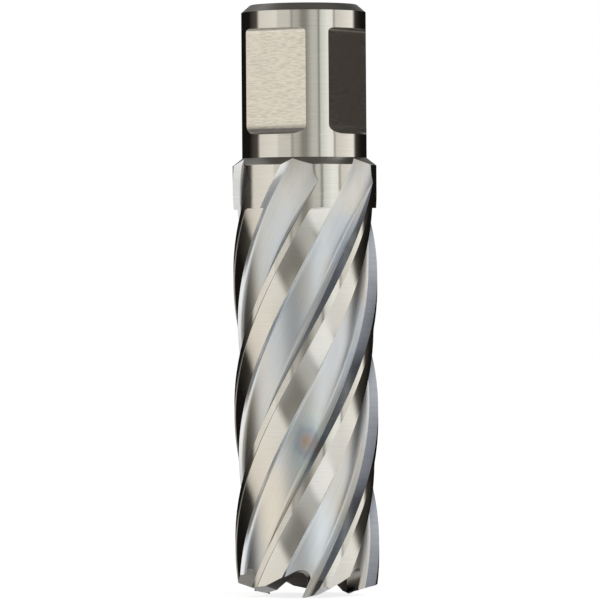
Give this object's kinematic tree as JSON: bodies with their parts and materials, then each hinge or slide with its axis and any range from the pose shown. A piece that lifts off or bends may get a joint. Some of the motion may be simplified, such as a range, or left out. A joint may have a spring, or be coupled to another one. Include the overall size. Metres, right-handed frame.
{
  "type": "annular cutter",
  "caption": "Annular cutter for holes in metal: plain shank with clamping flats, helical flutes, a hollow core and ground end teeth.",
  "frame": {"origin": "on the axis, level with the lowest tooth tips", "axes": "+Z along the axis from the teeth to the shank, -Y towards the front, where one clamping flat faces left and the other right"},
  "size_m": [0.022, 0.022, 0.0902],
  "materials": {
    "tool_steel": "ground and polished high-speed steel"
  },
  "bodies": {
    "root": {"cutter": "tool_steel"}
  },
  "joints": []
}
